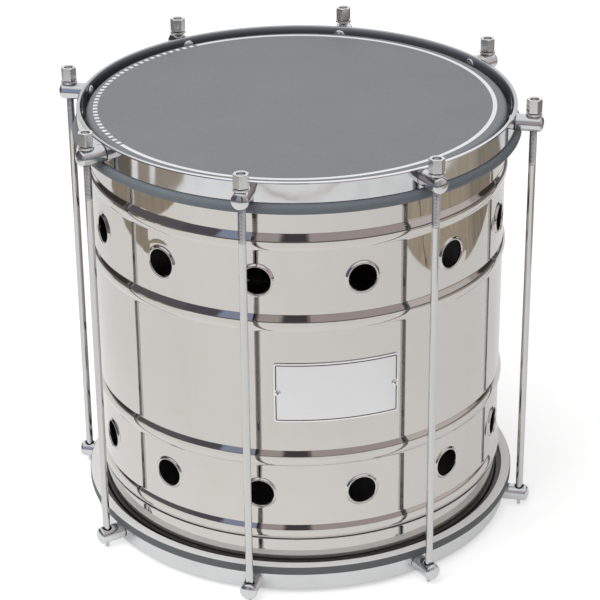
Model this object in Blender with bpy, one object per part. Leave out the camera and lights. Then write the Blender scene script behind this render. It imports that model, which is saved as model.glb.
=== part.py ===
"""Repinique: a 12 inch samba drum with a pressed steel shell, two heads and eight tension rods.

Metres, +Z up. The drum's axis is the Z axis, the badge faces -Y, and the rods' tails stand on Z = 0.
Azimuths are degrees from -Y towards +X, counterclockwise seen from above.
"""
import math

import bmesh
import bpy
import numpy as np
from mathutils import Matrix

# Clearance between pieces that touch or pass
CLEARANCE = 0.0003

# Shell
SHELL_RADIUS = 0.1524
SHELL_HEIGHT = 0.308
SHELL_WALL = 0.0010
EDGE_RADIUS = 0.0030
OUTER_BEAD_INSET = 0.0394
INNER_BEAD_INSET = 0.1005
BEAD_WIDTH = 0.0125
BEAD_HEIGHT = 0.0020
BEAD_CROWN = 0.3
BEAD_DROP = 0.0029
OUTER_BEAD_SHAPE = ((-1, 0), (-BEAD_CROWN, 1), (BEAD_CROWN, 1), (1, 0))
INNER_BEAD_SHAPE = ((-1, 0), (0, 1), (1, 0))
HOLE_COUNT = 13
HOLE_RADIUS = 0.0100
HOLE_LIP_WIDTH = 0.0027
HOLE_LIP_HEIGHT = 0.0014
HOLE_AZIMUTH = 6.7
HOLE_PATCH_MARGIN = 0.0025
HOLE_DROP = 0.0015
COLUMNS_PER_HOLE = 3
HOLE_SIDES = 12

# Heads and the rings that carry them
BATTER_FILM = 0.0005
BATTER_RECESS = 0.0040
BATTER_RING_GAP = 0.0035
BATTER_RING_DIAMETER = 0.0078
BATTER_RING_SIDES = 8
RESONANT_FILM = 0.0003
RESONANT_RECESS = 0.0070
RESONANT_RING_GAP = 0.0047
RESONANT_RING_WIDTH = 0.0073
RESONANT_RING_HEIGHT = 0.0065

# Hoops
HOOP_GAP = 0.0053
HOOP_WALL = 0.0028
HOOP_HEIGHT = 0.0148
HOOP_ROUNDING = 0.0009
HOOP_SIDES = 40

# Rods, lugs, nuts and washers
ROD_COUNT = 8
ROD_STANDOFF = 0.0124
ROD_RADIUS = 0.0027
ROD_END_DEPTH = 0.0012
ROD_CHAMFER = 0.0006
ROD_TAIL_RADIUS = 0.0013
ROD_TAIL_PROUD = 0.0041
ROD_SEAT_DEPTH = 0.0070
ROD_SIDES = 8
LUG_RADIUS = 0.00625
LUG_LENGTH = 0.0201
LUG_DOME = 0.0030
LUG_SIDES = 8
LUG_DOME_SHAPE = ((1.0, 1.0), (0.86, 0.35), (0.5, 0.0))
ROD_HOLE_GAP = 0.0005
ROD_MOUTH_GAP = 0.0010
SCREW_RADIUS = 0.0025
SCREW_HEAD_RADIUS = 0.0050
SCREW_HEAD_HEIGHT = 0.0024
SCREW_GRIP = 0.0060
SCREW_SIDES = 8
SCREW_DOME = 0.6
NUT_FLATS = 0.0100
NUT_HEIGHT = 0.0100
NUT_CHAMFER = 0.0007
WASHER_RADIUS = 0.0060
WASHER_THICKNESS = 0.0016
WASHER_SIDES = 8

# Badge plate and its rivets
BADGE_WIDTH = 0.0896
BADGE_HEIGHT = 0.0460
BADGE_THICKNESS = 0.0008
BADGE_CORNER = 0.0018
BADGE_DROP = 0.0033
BADGE_COLUMNS = 9
CORNER_COLUMNS = 3
RIVET_INSET = 0.0030
RIVET_RADIUS = 0.0010
RIVET_HEAD_RADIUS = 0.0019
RIVET_HEAD_HEIGHT = 0.0010
RIVET_TAIL = 0.0012

# Heights, worked out from the floor up
BOTTOM_LUG_Z = ROD_TAIL_PROUD + LUG_RADIUS
BOTTOM_HOOP_Z = BOTTOM_LUG_Z - HOOP_HEIGHT / 2
RESONANT_RING_Z = BOTTOM_HOOP_Z + HOOP_HEIGHT + CLEARANCE
SHELL_BOTTOM = BOTTOM_HOOP_Z + RESONANT_RECESS + RESONANT_FILM + CLEARANCE
SHELL_TOP = SHELL_BOTTOM + SHELL_HEIGHT
SHELL_MIDDLE = (SHELL_BOTTOM + SHELL_TOP) / 2
BATTER_TOP = SHELL_TOP + CLEARANCE + BATTER_FILM
TOP_HOOP_Z = BATTER_TOP + BATTER_RECESS - HOOP_HEIGHT
TOP_LUG_Z = TOP_HOOP_Z + HOOP_HEIGHT / 2
BATTER_RING_Z = TOP_HOOP_Z - CLEARANCE - BATTER_RING_DIAMETER / 2
WASHER_Z = TOP_LUG_Z + LUG_RADIUS + CLEARANCE
NUT_Z = WASHER_Z + WASHER_THICKNESS + CLEARANCE
ROD_TOP = NUT_Z + NUT_HEIGHT - ROD_END_DEPTH
ROD_SEAT_Z = BOTTOM_LUG_Z + LUG_RADIUS - ROD_SEAT_DEPTH
BADGE_Z = SHELL_MIDDLE - BADGE_DROP

# Radii, worked out from the shell outwards
HOOP_RADIUS = SHELL_RADIUS + HOOP_GAP + HOOP_WALL
HOOP_FLAT = math.cos(math.pi / HOOP_SIDES)
HOOP_OUTER_FACE = HOOP_RADIUS * HOOP_FLAT
HOOP_INNER_FACE = (HOOP_RADIUS - HOOP_WALL) * HOOP_FLAT
ROD_CIRCLE = HOOP_RADIUS + ROD_STANDOFF
LUG_START = HOOP_OUTER_FACE + CLEARANCE
LUG_END = LUG_START + LUG_LENGTH
LUG_CORNER = LUG_RADIUS / math.cos(math.pi / LUG_SIDES)
BATTER_RING_RADIUS = SHELL_RADIUS + BATTER_RING_GAP + BATTER_RING_DIAMETER / 2
RESONANT_RING_RADIUS = SHELL_RADIUS + RESONANT_RING_GAP
SHELL_COLUMNS = COLUMNS_PER_HOLE * HOLE_COUNT
RIVET_SEAT = SHELL_RADIUS + BADGE_THICKNESS + 2 * CLEARANCE
ROD_AZIMUTHS = [(rod + 0.5) * 360 / ROD_COUNT for rod in range(ROD_COUNT)]

STEEL = ("polished steel", (0.78, 0.76, 0.74), 0.12, 1.0)
CHROME = ("chrome", (0.80, 0.81, 0.81), 0.10, 1.0)
ALUMINIUM = ("aluminium", (0.80, 0.80, 0.80), 0.30, 1.0)
GREY_FILM = ("grey film", (0.27, 0.29, 0.30), 0.60, 0.0)
DARK_FILM = ("dark film", (0.03, 0.03, 0.035), 0.20, 0.0)
PLATE = ("badge plate", (0.82, 0.82, 0.81), 0.30, 0.0)


def clear_scene():
    """Remove every object of the open scene."""
    for old in list(bpy.data.objects):
        bpy.data.objects.remove(old)


def material(look):
    """A Principled material from its name, colour, roughness and metallic value."""
    name, colour, roughness, metallic = look
    found = bpy.data.materials.get(name)
    if found:
        return found
    made = bpy.data.materials.new(name)
    made.use_nodes = True
    shader = made.node_tree.nodes["Principled BSDF"]
    shader.inputs["Base Color"].default_value = (*colour, 1.0)
    shader.inputs["Roughness"].default_value = roughness
    shader.inputs["Metallic"].default_value = metallic
    return made


def finished(mesh, sharp=35.0):
    """The mesh with its faces turned outwards and shaded smooth up to a sharp angle."""
    work = bmesh.new()
    work.from_mesh(mesh)
    bmesh.ops.recalc_face_normals(work, faces=work.faces)
    work.to_mesh(mesh)
    work.free()
    mesh.shade_smooth()
    mesh.set_sharp_from_angle(angle=math.radians(sharp))
    return mesh


def mesh_of(name, points, faces):
    """A mesh from an array of points and a list of faces."""
    mesh = bpy.data.meshes.new(name)
    mesh.from_pydata(np.asarray(points, dtype=float).tolist(), [], faces)
    return finished(mesh)


def loft(name, sections, ring=False):
    """A closed body through equal loops of points, joined end to end or capped at both ends."""
    sections = np.asarray(sections, dtype=float)
    count, size = sections.shape[:2]
    index = np.arange(count * size).reshape(count, size)
    following = np.roll(index, -1, axis=0) if ring else index[1:]
    current = index if ring else index[:-1]
    quads = np.stack([current, np.roll(current, -1, 1), np.roll(following, -1, 1), following], axis=-1)
    faces = quads.reshape(-1, 4).tolist()
    if not ring:
        faces += [index[0].tolist(), index[-1].tolist()]
    return mesh_of(name, sections.reshape(-1, 3), faces)


def circle(radius, height, sides, turn=0.0):
    """Points of a regular polygon about the Z axis, the first at an azimuth of turn degrees."""
    angles = np.radians(turn) + np.arange(sides) * 2 * np.pi / sides
    return np.stack([radius * np.sin(angles), -radius * np.cos(angles), np.full(sides, height)], axis=1)


def turned(name, profile, sides, turn=0.0, ring=False):
    """A body turned about the Z axis from a profile of (radius, height) points."""
    return loft(name, [circle(radius, height, sides, turn) for radius, height in profile], ring)


def place(name, mesh, look, parent=None, azimuth=0.0, radius=0.0, height=0.0, radial=False):
    """A named object at an azimuth, radius and height; a radial mesh has its Z axis turned outwards."""
    body = bpy.data.objects.new(name, mesh)
    bpy.context.scene.collection.objects.link(body)
    if not mesh.materials:
        mesh.materials.append(material(look))
    angle = math.radians(azimuth)
    body.location = (radius * math.sin(angle), -radius * math.cos(angle), height)
    body.rotation_euler = (math.pi / 2 if radial else 0.0, 0.0, angle)
    body.parent = parent
    return body


def cut(mesh, tools):
    """The mesh with closed tool meshes taken out of it by exact Booleans."""
    scene = bpy.context.scene.collection
    body = bpy.data.objects.new("cut body", mesh)
    scene.objects.link(body)
    cutters = []
    for tool, matrix in tools:
        cutter = bpy.data.objects.new("cutter", tool)
        scene.objects.link(cutter)
        cutter.matrix_world = matrix
        cutter.hide_render = True
        cutter.display_type = "WIRE"
        cutters.append(cutter)
        modifier = body.modifiers.new("cut", "BOOLEAN")
        modifier.solver = "EXACT"
        modifier.object = cutter
    graph = bpy.context.evaluated_depsgraph_get()
    result = bpy.data.meshes.new_from_object(body.evaluated_get(graph))
    result.name = mesh.name
    for used in [body, *cutters]:
        bpy.data.objects.remove(used)
    return finished(result)


def radial_matrix(azimuth, height):
    """The placing that turns a mesh's Z axis outwards at an azimuth and height."""
    return (Matrix.Translation((0, 0, height)) @ Matrix.Rotation(math.radians(azimuth), 4, "Z")
            @ Matrix.Rotation(math.pi / 2, 4, "X"))


def around(radius, sides, gap=CLEARANCE):
    """Corner radius of the polygon hole that clears a round of this radius by the gap."""
    return (radius + gap) / math.cos(math.pi / sides)


def through(radius, low, high, sides):
    """A cutter along Z for a hole through material from low to high, running past both faces."""
    past = (high - low) / 2
    return turned("through cutter", [(radius, low - past), (radius, high + past)], sides, 180 / sides)


def hole_rows():
    """Heights of the two rows of holes, each a little below the middle of its two beads' places."""
    inset = (OUTER_BEAD_INSET + INNER_BEAD_INSET) / 2
    return SHELL_BOTTOM + inset - HOLE_DROP, SHELL_TOP - inset - HOLE_DROP


def edge_arc(radius, edge, side, steps=2):
    """Points round a bearing edge, from its crest out to the wall."""
    centre = SHELL_RADIUS - EDGE_RADIUS
    middle = edge - side * EDGE_RADIUS
    angles = np.linspace(math.pi / 2, 0, steps + 1)
    return [(centre + radius * math.cos(t), middle + side * radius * math.sin(t)) for t in angles]


def wall_lines(depth, bead_shape, edge_steps):
    """Radius and height of each line round one face of the wall, from the lower edge to the upper."""
    radius = SHELL_RADIUS - depth
    patch = HOLE_RADIUS + HOLE_LIP_WIDTH + HOLE_PATCH_MARGIN
    low_row, high_row = hole_rows()

    def bead(centre):
        return [(radius + BEAD_HEIGHT * lift, centre + BEAD_WIDTH / 2 * at) for at, lift in bead_shape]

    def upper_half(row, drop):
        lines = [*bead(SHELL_TOP - INNER_BEAD_INSET - drop), (radius, row - patch), (radius, row + patch)]
        lines += bead(SHELL_TOP - OUTER_BEAD_INSET - drop)
        return lines + edge_arc(EDGE_RADIUS - depth, SHELL_TOP, 1, edge_steps)[::-1]

    mirrored = reversed(upper_half(2 * SHELL_MIDDLE - low_row, -BEAD_DROP))
    lower = [(line_radius, 2 * SHELL_MIDDLE - height) for line_radius, height in mirrored]
    return lower + upper_half(high_row, BEAD_DROP)


def hole_loop(radius, wall_radius, lift, azimuth, row):
    """Points round one hole, on a cylinder of the wall's radius raised along the hole's own axis."""
    turns = np.arange(HOLE_SIDES) * 2 * np.pi / HOLE_SIDES
    across, up = radius * np.cos(turns), radius * np.sin(turns)
    out = np.sqrt(wall_radius ** 2 - across ** 2) + lift
    angle = math.radians(azimuth)
    x = out * math.sin(angle) + across * math.cos(angle)
    y = -out * math.cos(angle) + across * math.sin(angle)
    return np.stack([x, y, row + up], axis=1)


def by_angle(loop, centre, points):
    """Angles and numbers of a loop's points in order round a centre on the wall, the first repeated."""
    across = np.array([-centre[1], centre[0], 0.0]) / math.hypot(centre[0], centre[1])
    offsets = points[loop] - centre
    angles = np.arctan2(offsets[:, 2], offsets @ across) % (2 * np.pi)
    order = np.argsort(angles)
    numbers = np.asarray(loop)[order].tolist()
    return [*angles[order], angles[order[0]] + 2 * np.pi], [*numbers, numbers[0]]


def stitched(outer, inner, centre, points):
    """Triangles between two loops of point numbers round a centre on the wall, walked side by side."""
    outer_angles, outer_loop = by_angle(outer, centre, points)
    inner_angles, inner_loop = by_angle(inner, centre, points)
    faces = []
    i = j = 0
    while i < len(outer) or j < len(inner):
        outer_next = outer_angles[i + 1] if i < len(outer) else math.inf
        inner_next = inner_angles[j + 1] if j < len(inner) else math.inf
        if outer_next < inner_next:
            faces.append([outer_loop[i], outer_loop[i + 1], inner_loop[j]])
            i += 1
        else:
            faces.append([outer_loop[i], inner_loop[j + 1], inner_loop[j]])
            j += 1
    return faces


def hole_faces(azimuth, row, frames, points):
    """Faces of one lipped hole, from its frame on the outer face through to the one on the inner face."""
    loops = ((HOLE_RADIUS + HOLE_LIP_WIDTH, SHELL_RADIUS, 0.0),
             (HOLE_RADIUS + HOLE_LIP_WIDTH / 2, SHELL_RADIUS, HOLE_LIP_HEIGHT),
             (HOLE_RADIUS, SHELL_RADIUS - SHELL_WALL, 0.0))
    first = len(points)
    for radius, wall_radius, lift in loops:
        points.extend(hole_loop(radius, wall_radius, lift, azimuth, row))
    rings = np.arange(first, len(points)).reshape(len(loops), HOLE_SIDES)
    low, high = rings[:-1], rings[1:]
    quads = np.stack([low, np.roll(low, -1, 1), np.roll(high, -1, 1), high], axis=-1)
    faces = quads.reshape(-1, 4).tolist()
    array = np.array(points)
    centre = array[rings[0]].mean(axis=0)
    for frame, ring in zip(frames, (rings[0], rings[-1])):
        faces += stitched(frame, ring, centre, array)
    return faces


def shell_mesh():
    """The pressed wall in one sheet: beads, turned-in edges and two rows of holes with raised lips."""
    outer = wall_lines(0.0, OUTER_BEAD_SHAPE, 2)
    inner = wall_lines(SHELL_WALL, INNER_BEAD_SHAPE, 1)
    lines = outer + inner
    heights = [height for radius, height in lines]
    points = [point for line in lines for point in circle(*line, SHELL_COLUMNS, HOLE_AZIMUTH)]
    index = np.arange(len(points)).reshape(len(lines), SHELL_COLUMNS)
    first, last = len(outer), len(lines) - 1
    strips = [(line, line + 1) for line in range(last) if line + 1 != first]
    strips += [(0, first), (first - 1, last)]
    frames = {row: [] for row in hole_rows()}
    faces = []
    for low, high in strips:
        row = next((row for row in frames if heights[low] < row < heights[high]), None)
        if row:
            frames[row].append((index[low], index[high]))
        quads = zip(index[low], np.roll(index[low], -1), np.roll(index[high], -1), index[high])
        for column, quad in enumerate(quads):
            beside_hole = column % COLUMNS_PER_HOLE in (0, COLUMNS_PER_HOLE - 1)
            if not (row and beside_hole):
                faces.append(quad)
    for hole in range(HOLE_COUNT):
        columns = (COLUMNS_PER_HOLE * hole + np.array([-1, 0, 1])) % SHELL_COLUMNS
        for row, lines_round in frames.items():
            loops = [np.concatenate([low[columns], high[columns]]) for low, high in lines_round]
            faces += hole_faces(HOLE_AZIMUTH + hole * 360 / HOLE_COUNT, row, loops, points)
    return mesh_of("shell", points, [[int(corner) for corner in face] for face in faces])


def rivet_azimuths():
    """Azimuth of each badge rivet."""
    reach = math.degrees((BADGE_WIDTH / 2 - RIVET_INSET) / SHELL_RADIUS)
    return -reach, reach


def rivet_tools():
    """Cutters for the rivet holes, through the badge plate and the wall behind it."""
    tool = through(around(RIVET_RADIUS, SCREW_SIDES), SHELL_RADIUS - SHELL_WALL, RIVET_SEAT, SCREW_SIDES)
    return [(tool, radial_matrix(azimuth, BADGE_Z)) for azimuth in rivet_azimuths()]


def head_mesh(name, edge, side, film, flange, reach):
    """Film over a bearing edge: a disc, a collar down the wall and a flange turned out to its ring."""
    under_radius = SHELL_RADIUS + CLEARANCE
    under = edge_arc(EDGE_RADIUS + CLEARANCE, edge, side)
    under += [(under_radius, flange - side * film / 2), (reach, flange - side * film / 2)]
    over = [(reach, flange + side * film / 2), (under_radius + film, flange + side * film / 2)]
    over += reversed(edge_arc(EDGE_RADIUS + CLEARANCE + film, edge, side))
    return turned(name, under + over, SHELL_COLUMNS, HOLE_AZIMUTH)


def hoop_mesh(name, low, rounded_side):
    """Flat steel band with one rounded edge and a hole for each lug screw."""
    inner = HOOP_RADIUS - HOOP_WALL
    high = low + HOOP_HEIGHT
    plain, rounded = (low, high) if rounded_side > 0 else (high, low)
    shoulder = rounded - rounded_side * HOOP_ROUNDING
    profile = [(HOOP_RADIUS, plain), (HOOP_RADIUS, shoulder), (HOOP_RADIUS - HOOP_ROUNDING, rounded),
               (inner + HOOP_ROUNDING, rounded), (inner, shoulder), (inner, plain)]
    tool = through(around(SCREW_RADIUS, SCREW_SIDES), inner, HOOP_RADIUS, SCREW_SIDES)
    tools = [(tool, radial_matrix(azimuth, low + HOOP_HEIGHT / 2)) for azimuth in ROD_AZIMUTHS]
    return cut(turned(name, profile, HOOP_SIDES, ring=True), tools)


def batter_ring_mesh():
    """Round steel ring wrapped in film."""
    turns = np.arange(BATTER_RING_SIDES) * 2 * np.pi / BATTER_RING_SIDES
    across = BATTER_RING_RADIUS + BATTER_RING_DIAMETER / 2 * np.cos(turns)
    heights = BATTER_RING_Z + BATTER_RING_DIAMETER / 2 * np.sin(turns)
    return turned("batter_ring", list(zip(across, heights)), HOOP_SIDES, ring=True)


def resonant_ring_mesh():
    """Channel ring whose inward groove holds the flange of the lower film."""
    inner = RESONANT_RING_RADIUS
    outer = inner + RESONANT_RING_WIDTH
    floor = inner + RESONANT_RING_WIDTH / 2
    low = RESONANT_RING_Z
    high = low + RESONANT_RING_HEIGHT
    groove_low = (low + high - RESONANT_FILM) / 2 - CLEARANCE
    groove_high = (low + high + RESONANT_FILM) / 2 + CLEARANCE
    profile = [(inner, low), (outer, low), (outer, high), (inner, high),
               (inner, groove_high), (floor, groove_high), (floor, groove_low), (inner, groove_low)]
    return turned("resonant_ring", profile, HOOP_SIDES, ring=True)


def screw_profile(end):
    """Domed head inside the hoop and the shank out to a radius."""
    seat = HOOP_INNER_FACE - CLEARANCE
    return [(SCREW_HEAD_RADIUS * SCREW_DOME, seat - SCREW_HEAD_HEIGHT), (SCREW_HEAD_RADIUS, seat),
            (SCREW_RADIUS, seat), (SCREW_RADIUS, end)]


def lug_profile():
    """Bar from the hoop's face to a domed end, as a polygon round the real round bar."""
    dome = [(LUG_CORNER * wide, LUG_END - LUG_DOME * deep) for wide, deep in LUG_DOME_SHAPE]
    return [(LUG_CORNER, LUG_START), *dome]


def rod_matrix():
    """The placing of a rod's cutter in a radial lug mesh, along the lug's upward Y axis."""
    return Matrix.Translation((0, 0, ROD_CIRCLE)) @ Matrix.Rotation(-math.pi / 2, 4, "X")


def top_lug_mesh():
    """Lug with a blind hole for its screw and a through hole for its rod."""
    body = turned("top_lug", lug_profile(), LUG_SIDES, 180 / LUG_SIDES)
    radius = around(SCREW_RADIUS, SCREW_SIDES)
    blind = [(radius, HOOP_INNER_FACE), (radius, LUG_START + SCREW_GRIP + CLEARANCE)]
    screw_hole = turned("screw cutter", blind, SCREW_SIDES, 180 / SCREW_SIDES)
    rod_hole = through(around(ROD_RADIUS, ROD_SIDES, ROD_HOLE_GAP), -LUG_RADIUS, LUG_RADIUS, ROD_SIDES)
    return cut(body, [(screw_hole, Matrix.Identity(4)), (rod_hole, rod_matrix())])


def bottom_lug_mesh():
    """Lug in one with its screw, with a wide mouth where the rod seats and a small hole for its tail."""
    body = turned("bottom_lug", screw_profile(LUG_START) + lug_profile(), LUG_SIDES, 180 / LUG_SIDES)
    seat = ROD_SEAT_Z - BOTTOM_LUG_Z
    mouth = around(ROD_RADIUS, ROD_SIDES, ROD_MOUTH_GAP)
    tail = around(ROD_TAIL_RADIUS, ROD_SIDES)
    stepped = [(tail, -LUG_CORNER), (tail, seat), (mouth, seat), (mouth, LUG_CORNER)]
    return cut(body, [(turned("seat cutter", stepped, ROD_SIDES, 180 / ROD_SIDES), rod_matrix())])


def rod_mesh():
    """Tension rod with a thin tail below and a chamfered end above."""
    shoulder = ROD_SEAT_Z + CLEARANCE
    profile = [(ROD_TAIL_RADIUS, 0.0), (ROD_TAIL_RADIUS, shoulder), (ROD_RADIUS, shoulder),
               (ROD_RADIUS, ROD_TOP - ROD_CHAMFER), (ROD_RADIUS - ROD_CHAMFER, ROD_TOP)]
    return turned("tension_rod", profile, ROD_SIDES)


def nut_mesh():
    """Long hexagon nut, chamfered on top, bored through."""
    corner = NUT_FLATS / 2 / math.cos(math.pi / 6)
    profile = [(corner, 0.0), (corner, NUT_HEIGHT - NUT_CHAMFER), (corner - NUT_CHAMFER, NUT_HEIGHT)]
    hole = through(around(ROD_RADIUS, ROD_SIDES), 0.0, NUT_HEIGHT, ROD_SIDES)
    return cut(turned("tension_nut", profile, 6), [(hole, Matrix.Identity(4))])


def washer_mesh():
    """Flat washer round its rod."""
    hole = around(ROD_RADIUS, WASHER_SIDES)
    profile = [(WASHER_RADIUS, 0.0), (WASHER_RADIUS, WASHER_THICKNESS),
               (hole, WASHER_THICKNESS), (hole, 0.0)]
    return turned("washer", profile, WASHER_SIDES, 180 / WASHER_SIDES, ring=True)


def badge_mesh():
    """Thin plate with rounded corners, rolled to the wall."""
    turn = np.linspace(0, np.pi / 2, CORNER_COLUMNS + 1)
    corner_across = BADGE_WIDTH / 2 - BADGE_CORNER * (1 - np.cos(turn))
    corner_height = BADGE_HEIGHT / 2 - BADGE_CORNER * (1 - np.sin(turn))
    middle = np.linspace(corner_across[-1], -corner_across[-1], BADGE_COLUMNS)[1:-1]
    across = np.concatenate([corner_across, middle, -corner_across[::-1]])
    half = np.concatenate([corner_height, np.full(len(middle), BADGE_HEIGHT / 2), corner_height[::-1]])
    low = SHELL_RADIUS + CLEARANCE
    high = low + BADGE_THICKNESS
    angle = across / low
    corners = ((low, -1), (low, 1), (high, 1), (high, -1))
    sections = [(radius * np.sin(angle), -radius * np.cos(angle), BADGE_Z + side * half)
                for radius, side in corners]
    return cut(loft("badge_plate", np.array(sections).transpose(2, 0, 1)), rivet_tools())


def rivet_mesh():
    """Rivet from inside the wall to its domed head on the plate."""
    profile = [(RIVET_RADIUS, SHELL_RADIUS - SHELL_WALL - RIVET_TAIL), (RIVET_RADIUS, RIVET_SEAT),
               (RIVET_HEAD_RADIUS, RIVET_SEAT), (RIVET_RADIUS, RIVET_SEAT + RIVET_HEAD_HEIGHT)]
    return turned("badge_rivet", profile, SCREW_SIDES)


def build_drum_body():
    """Shell, badge, both heads with their rings, and the bottom hoop."""
    place("shell", cut(shell_mesh(), rivet_tools()), STEEL)
    place("badge_plate", badge_mesh(), PLATE)
    rivet = rivet_mesh()
    for side, azimuth in zip(("left", "right"), rivet_azimuths()):
        place(f"badge_rivet_{side}", rivet, CHROME, azimuth=azimuth, height=BADGE_Z, radial=True)
    reach = (BATTER_RING_RADIUS - BATTER_RING_DIAMETER / 2) * HOOP_FLAT - CLEARANCE
    batter_head = head_mesh("batter_head", SHELL_TOP, 1, BATTER_FILM, BATTER_RING_Z, reach)
    place("batter_head", batter_head, GREY_FILM)
    place("batter_ring", batter_ring_mesh(), GREY_FILM)
    reach = RESONANT_RING_RADIUS + RESONANT_RING_WIDTH / 4
    groove = RESONANT_RING_Z + RESONANT_RING_HEIGHT / 2
    resonant_head = head_mesh("resonant_head", SHELL_BOTTOM, -1, RESONANT_FILM, groove, reach)
    place("resonant_head", resonant_head, DARK_FILM)
    place("resonant_ring", resonant_ring_mesh(), ALUMINIUM)
    place("bottom_hoop", hoop_mesh("bottom_hoop", BOTTOM_HOOP_Z, -1), CHROME)


def build_tension_set():
    """Top hoop with its lugs, screws, washers and nuts on one empty, and the rods and bottom lugs."""
    group = bpy.data.objects.new("top_hoop_group", None)
    bpy.context.scene.collection.objects.link(group)
    place("top_hoop", hoop_mesh("top_hoop", TOP_HOOP_Z, 1), CHROME, group)
    top_lug = top_lug_mesh()
    bottom_lug = bottom_lug_mesh()
    screw = turned("lug_screw", screw_profile(LUG_START + SCREW_GRIP), SCREW_SIDES)
    rod = rod_mesh()
    nut = nut_mesh()
    washer = washer_mesh()
    for number, azimuth in enumerate(ROD_AZIMUTHS, start=1):
        at_rod = {"azimuth": azimuth, "radius": ROD_CIRCLE}
        place(f"bottom_lug_{number}", bottom_lug, CHROME, azimuth=azimuth, height=BOTTOM_LUG_Z, radial=True)
        place(f"tension_rod_{number}", rod, CHROME, **at_rod)
        place(f"top_lug_{number}", top_lug, CHROME, group, azimuth, height=TOP_LUG_Z, radial=True)
        place(f"lug_screw_{number}", screw, CHROME, group, azimuth, height=TOP_LUG_Z, radial=True)
        place(f"washer_{number}", washer, CHROME, group, height=WASHER_Z, **at_rod)
        place(f"tension_nut_{number}", nut, CHROME, group, height=NUT_Z, **at_rod)


clear_scene()
build_drum_body()
build_tension_set()
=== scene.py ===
import math

import bmesh
import bpy
import numpy as np
from mathutils import Matrix, Vector


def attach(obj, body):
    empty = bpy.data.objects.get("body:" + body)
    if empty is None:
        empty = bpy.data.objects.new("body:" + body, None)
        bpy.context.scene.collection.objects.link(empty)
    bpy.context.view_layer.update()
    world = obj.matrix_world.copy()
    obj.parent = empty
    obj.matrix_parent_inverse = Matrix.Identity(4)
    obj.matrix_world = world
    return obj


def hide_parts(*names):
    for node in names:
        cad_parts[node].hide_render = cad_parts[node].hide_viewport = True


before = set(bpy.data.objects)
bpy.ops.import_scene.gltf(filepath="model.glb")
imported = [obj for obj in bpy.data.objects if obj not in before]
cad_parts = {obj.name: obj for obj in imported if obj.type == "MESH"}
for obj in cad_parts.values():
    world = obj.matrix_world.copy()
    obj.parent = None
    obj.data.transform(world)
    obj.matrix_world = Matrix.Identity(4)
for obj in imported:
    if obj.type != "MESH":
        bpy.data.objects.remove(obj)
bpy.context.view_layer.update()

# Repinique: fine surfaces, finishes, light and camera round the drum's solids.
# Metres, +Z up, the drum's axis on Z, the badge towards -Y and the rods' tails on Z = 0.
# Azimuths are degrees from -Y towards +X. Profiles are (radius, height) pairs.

# Shell. A hole's lip rises from its reach to its crest and falls into the hole by pairs of radius and lift.
# A hole takes the place of a square block of cells, a half to each side of its middle.
SHELL_RADIUS = 0.1524
SHELL_WALL = 0.0010
SHELL_BOTTOM, SHELL_TOP = 0.01055, 0.31855
EDGE_RADIUS = 0.0030
BEAD_HEIGHTS = (0.04705, 0.10815, 0.21515, 0.27625)
BEAD_WIDTH, BEAD_HEIGHT = 0.0125, 0.0020
HOLE_ROWS = (0.0790, 0.2471)
HOLE_COUNT, HOLE_RADIUS, HOLE_AZIMUTH = 13, 0.0100, 6.7
LIP_REACH, LIP_CREST, LIP_HEIGHT, DISH_WIDTH = 0.0128, 0.0109, 0.0014, 0.0060
LIP_FALL = ((0.0105, 0.00125), (0.0102, 0.00095), (HOLE_RADIUS, 0.0005))
COLUMNS_PER_HOLE, HOLE_HALF = 24, 5
WALL_COLUMNS, RING_COLUMNS = HOLE_COUNT * COLUMNS_PER_HOLE, 288

# Heads, rings and hoops. A film's collar bends out to its flange on one radius for each of its faces.
GAP = 0.0003
BATTER_FILM, RESONANT_FILM = 0.0005, 0.0003
BATTER_TOP = SHELL_TOP + GAP + BATTER_FILM
OUTER_BEND, INNER_BEND = 0.0009, 0.0014
BATTER_RING_Z, BATTER_RING_RADIUS, BATTER_RING_SECTION = 0.30435, 0.1598, 0.0039
RESONANT_RING = ((0.1571, 0.01805), (0.1644, 0.02455))
RESONANT_FLANGE_Z = (RESONANT_RING[0][1] + RESONANT_RING[1][1]) / 2
HOOP_FACES = (0.157214, 0.160005)
TOP_HOOP, BOTTOM_HOOP = (0.30855, 0.32335), (0.00295, 0.01775)
ROUNDED_EDGE, BROKEN_EDGE = 0.0011, 0.0003

# Tension set
ROD_CIRCLE = 0.1729
ROD_RADIUS, ROD_TAIL_RADIUS, ROD_SHOULDER, ROD_TOP = 0.0027, 0.0013, 0.0099, 0.3332
THREAD_START, THREAD_PITCH, THREAD_CREST, THREAD_ROOT = 0.2840, 0.0010, 0.00285, 0.0024
LUG_RADIUS, LUG_LENGTH, LUG_DOME = 0.00625, 0.0201, 0.0030
LUG_START = HOOP_FACES[1] + GAP
LUG_END = LUG_START + LUG_LENGTH
TOP_LUG_Z, BOTTOM_LUG_Z = sum(TOP_HOOP) / 2, sum(BOTTOM_HOOP) / 2
LUG_COLUMNS, LUG_HALF = 32, 4
ROD_HOLE, ROD_MOUTH, TAIL_HOLE, SEAT_DROP = 0.0032, 0.0037, 0.0016, 0.00075
SCREW_RADIUS, SCREW_HEAD, SCREW_DOME, SCREW_END = 0.0025, 0.0050, 0.0024, 0.1663
WASHER_RADIUS, WASHER_THICKNESS = 0.0060, 0.0016
WASHER_Z = TOP_LUG_Z + LUG_RADIUS + GAP
NUT_HEIGHT, NUT_FLATS = 0.0100, 0.0100
NUT_Z = WASHER_Z + WASHER_THICKNESS + GAP
ROD_AZIMUTHS = [22.5 + 45 * number for number in range(8)]

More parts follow.
